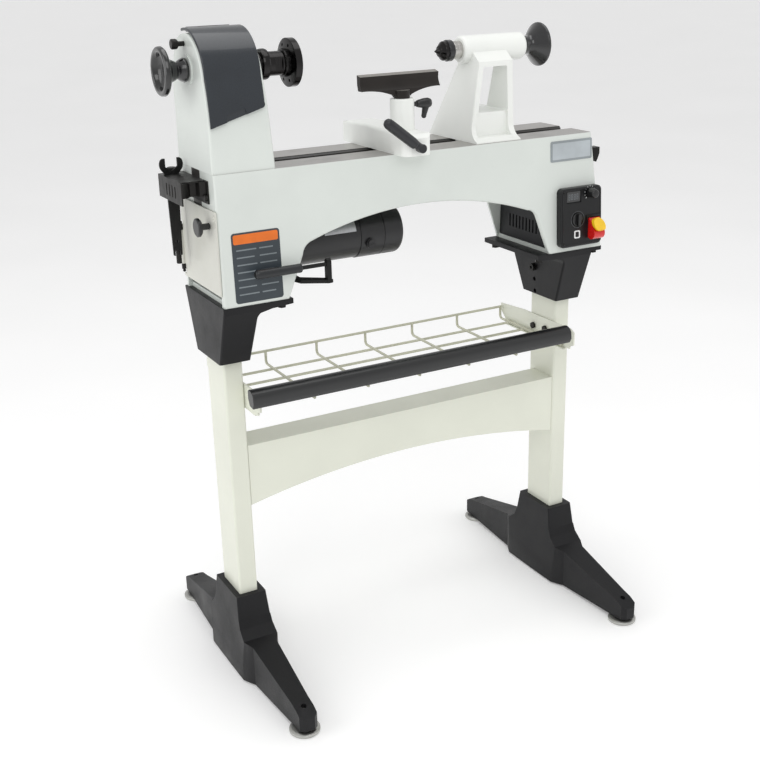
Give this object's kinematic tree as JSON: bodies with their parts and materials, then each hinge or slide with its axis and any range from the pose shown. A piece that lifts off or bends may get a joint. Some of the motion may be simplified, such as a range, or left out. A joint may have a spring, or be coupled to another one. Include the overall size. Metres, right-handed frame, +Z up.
{
  "type": "wood lathe",
  "caption": "Bench-height wood lathe on a two-post steel stand, with headstock, sliding tool rest, sliding tailstock, control box and a wire tool tray.",
  "frame": {"origin": "on the floor, under the middle of the overall bounding box", "axes": "+Z up, +X from the headstock to the tailstock, -Y towards the operator"},
  "size_m": [0.8436, 0.5886, 1.1715],
  "materials": {
    "white_cast_iron": "satin enamel",
    "black_cast_iron": "textured black enamel",
    "cream_sheet": "satin enamel",
    "black_rail": "satin black",
    "zinc_steel": "zinc plated",
    "machined_steel": "turned",
    "blackened_steel": "oxide black",
    "grey_casting": "satin black",
    "pulley_aluminium": "turned",
    "black_rubber": "matt",
    "motor_black": "satin black",
    "cover_plastic": "satin",
    "black_plastic": "fine grain",
    "red_plastic": "gloss",
    "yellow_plastic": "gloss"
  },
  "bodies": {
    "stand": {"left_foot_casting": "black_cast_iron", "right_foot_casting": "black_cast_iron", "left_post": "cream_sheet", "right_post": "cream_sheet", "stretcher_panel": "cream_sheet", "tray_wires": "cream_sheet", "tray_end_plates": "cream_sheet", "tray_front_rail": "black_rail", "stand_bolts": "blackened_steel"},
    "levelling_foot_a": {"levelling_foot_1": "zinc_steel"},
    "levelling_foot_b": {"levelling_foot_2": "zinc_steel"},
    "levelling_foot_c": {"levelling_foot_3": "zinc_steel"},
    "levelling_foot_d": {"levelling_foot_4": "zinc_steel"},
    "lathe": {"left_bracket": "black_cast_iron", "right_bracket": "black_cast_iron", "lathe_bolts": "blackened_steel", "bed_casting": "white_cast_iron", "hinge_pins": "machined_steel", "headstock_casting": "white_cast_iron", "spindle_bearings": "machined_steel", "drive_belt": "black_rubber", "motor_pivot_rod": "machined_steel", "control_box": "black_plastic", "speed_controller": "black_plastic", "tool_holder": "blackened_steel"},
    "door": {"access_door": "cream_sheet"},
    "door_catch": {"door_knob": "machined_steel"},
    "belt_cover": {"headstock_cover": "cover_plastic"},
    "spindle_unit": {"spindle": "machined_steel", "spindle_pulley": "pulley_aluminium", "spindle_handwheel": "grey_casting", "faceplate": "blackened_steel"},
    "indexing_pin": {"index_plunger": "machined_steel"},
    "motor": {"motor_body": "motor_black", "motor_end_cap": "motor_black", "motor_mount_plate": "machined_steel", "tension_lever": "machined_steel"},
    "motor_shaft": {"motor_rotor": "machined_steel"},
    "motor_lock": {"motor_lock_lever": "black_cast_iron"},
    "banjo_plate": {"banjo_clamp_plate": "machined_steel"},
    "banjo_bolt": {"banjo_clamp_bolt": "machined_steel"},
    "banjo": {"banjo_casting": "white_cast_iron"},
    "banjo_lever": {"banjo_clamp_lever": "black_cast_iron"},
    "rest_post": {"tool_rest_post": "machined_steel"},
    "rest": {"tool_rest": "blackened_steel"},
    "rest_lever": {"tool_rest_lock_lever": "black_cast_iron"},
    "tailstock": {"tailstock_casting": "white_cast_iron", "tailstock_clamp_plate": "machined_steel"},
    "tailstock_lever": {"tailstock_clamp_lever": "black_cast_iron"},
    "tailstock_quill": {"quill": "machined_steel", "live_centre_body": "blackened_steel"},
    "centre_tip": {"live_centre_point": "machined_steel"},
    "tailstock_wheel": {"tailstock_handwheel": "grey_casting"},
    "quill_lever": {"quill_lock_lever": "black_cast_iron"},
    "speed_dial": {"speed_knob": "black_plastic"},
    "direction_knob": {"direction_switch": "black_plastic"},
    "stop_paddle": {"paddle_switch": "red_plastic"},
    "safety_key": {"paddle_key": "yellow_plastic"},
    "wrench": {"spindle_wrench": "blackened_steel"},
    "rod": {"knockout_rod": "machined_steel"}
  },
  "joints": [
    {"name": "levelling_screw_a", "type": "slide", "parent": "stand", "child": "levelling_foot_a", "axis": [0, 0, -1], "range_m": [0, 0.02]},
    {"name": "levelling_screw_b", "type": "slide", "parent": "stand", "child": "levelling_foot_b", "axis": [0, 0, -1], "range_m": [0, 0.02]},
    {"name": "levelling_screw_c", "type": "slide", "parent": "stand", "child": "levelling_foot_c", "axis": [0, 0, -1], "range_m": [0, 0.02]},
    {"name": "levelling_screw_d", "type": "slide", "parent": "stand", "child": "levelling_foot_d", "axis": [0, 0, -1], "range_m": [0, 0.02]},
    {"name": "bed_height", "type": "slide", "parent": "stand", "child": "lathe", "axis": [0, 0, 1], "range_m": [-0.025, 0.05]},
    {"name": "spindle_turn", "type": "hinge", "parent": "lathe", "child": "spindle_unit", "pos_m": [-0.3722, 0, 1.10675], "axis": [1, 0, 0], "continuous": true},
    {"name": "motor_turn", "type": "hinge", "parent": "motor", "child": "motor_shaft", "pos_m": [-0.3722, 0, 0.802], "axis": [1, 0, 0], "continuous": true},
    {"name": "belt_tension", "type": "hinge", "parent": "lathe", "child": "motor", "pos_m": [-0.3722, 0.062, 0.872], "axis": [1, 0, 0], "range_deg": [-4, 0], "deforming": ["drive_belt"]},
    {"name": "motor_lock_turn", "type": "hinge", "parent": "lathe", "child": "motor_lock", "pos_m": [-0.2042, 0.09, 0.888], "axis": [0, 1, 0], "range_deg": [-40, 40]},
    {"name": "cover_lift", "type": "hinge", "parent": "lathe", "child": "belt_cover", "pos_m": [-0.3232, 0.0255, 1.1675], "axis": [-1, 0, 0], "range_deg": [0, 95]},
    {"name": "index_push", "type": "slide", "parent": "lathe", "child": "indexing_pin", "axis": [1, 0, 0], "range_m": [0, 0.006]},
    {"name": "door_swing", "type": "hinge", "parent": "lathe", "child": "door", "pos_m": [-0.3768, 0.084, 0.8], "axis": [0, 0, -1], "range_deg": [0, 15]},
    {"name": "door_catch_turn", "type": "hinge", "parent": "door", "child": "door_catch", "pos_m": [-0.3822, -0.056, 0.862], "axis": [1, 0, 0], "range_deg": [0, 90]},
    {"name": "banjo_along_bed", "type": "slide", "parent": "lathe", "child": "banjo_plate", "axis": [1, 0, 0], "range_m": [-0.04, 0.02]},
    {"name": "banjo_swivel", "type": "hinge", "parent": "banjo_plate", "child": "banjo_bolt", "pos_m": [-0.0132, 0, 0.93], "axis": [0, 0, 1], "range_deg": [-20, 20]},
    {"name": "banjo_across_bed", "type": "slide", "parent": "banjo_bolt", "child": "banjo", "axis": [0, 1, 0], "range_m": [-0.05, 0.02]},
    {"name": "banjo_lever_turn", "type": "hinge", "parent": "banjo", "child": "banjo_lever", "pos_m": [-0.0132, -0.127, 0.96215], "axis": [0, 1, 0], "range_deg": [-60, 5]},
    {"name": "rest_height", "type": "slide", "parent": "banjo", "child": "rest_post", "axis": [0, 0, 1], "range_m": [0, 0.025]},
    {"name": "rest_swivel", "type": "hinge", "parent": "rest_post", "child": "rest", "pos_m": [-0.0142, -0.065, 1.044], "axis": [0, 0, 1], "range_deg": [-25, 25]},
    {"name": "rest_lever_turn", "type": "hinge", "parent": "banjo", "child": "rest_lever", "pos_m": [0.0178, -0.065, 1.02815], "axis": [1, 0, 0], "range_deg": [-90, 90]},
    {"name": "tailstock_along_bed", "type": "slide", "parent": "lathe", "child": "tailstock", "axis": [1, 0, 0], "range_m": [-0.015, 0.1]},
    {"name": "tailstock_lever_turn", "type": "hinge", "parent": "tailstock", "child": "tailstock_lever", "pos_m": [0.1838, 0.1, 0.97615], "axis": [0, 1, 0], "range_deg": [-60, 30]},
    {"name": "quill_feed", "type": "slide", "parent": "tailstock", "child": "tailstock_quill", "axis": [-1, 0, 0], "range_m": [0, 0.04]},
    {"name": "centre_tip_turn", "type": "hinge", "parent": "tailstock_quill", "child": "centre_tip", "pos_m": [0.1078, 0, 1.10675], "axis": [1, 0, 0], "continuous": true},
    {"name": "tailstock_wheel_turn", "type": "hinge", "parent": "tailstock", "child": "tailstock_wheel", "pos_m": [0.2978, 0, 1.10675], "axis": [-1, 0, 0], "range_deg": [-1, 2860]},
    {"name": "quill_lever_turn", "type": "hinge", "parent": "tailstock", "child": "quill_lever", "pos_m": [0.1878, 0.03, 1.10675], "axis": [0, -1, 0], "range_deg": [0, 90]},
    {"name": "speed_dial_turn", "type": "hinge", "parent": "lathe", "child": "speed_dial", "pos_m": [0.3718, -0.105, 0.838], "axis": [0, -1, 0], "range_deg": [-270, 0]},
    {"name": "direction_turn", "type": "hinge", "parent": "lathe", "child": "direction_knob", "pos_m": [0.3428, -0.1, 0.79], "axis": [0, -1, 0], "range_deg": [-45, 45]},
    {"name": "paddle_swing", "type": "hinge", "parent": "lathe", "child": "stop_paddle", "pos_m": [0.3798, -0.1015, 0.7885], "axis": [-1, 0, 0], "range_deg": [0, 10]},
    {"name": "key_pull", "type": "slide", "parent": "stop_paddle", "child": "safety_key", "axis": [0, -1, 0], "range_m": [0, 0.02]},
    {"name": "wrench_lift", "type": "slide", "parent": "lathe", "child": "wrench", "axis": [0, 0, 1], "range_m": [0, 0.17]},
    {"name": "rod_lift", "type": "slide", "parent": "lathe", "child": "rod", "axis": [0, 0, 1], "range_m": [0, 0.165]}
  ],
  "couplings": [
    {"joint": "tailstock_wheel_turn", "follows": "quill_feed", "rad_per_m": 1236.8},
    {"joint": "motor_turn", "follows": "spindle_turn", "ratio": 1.3333}
  ]
}
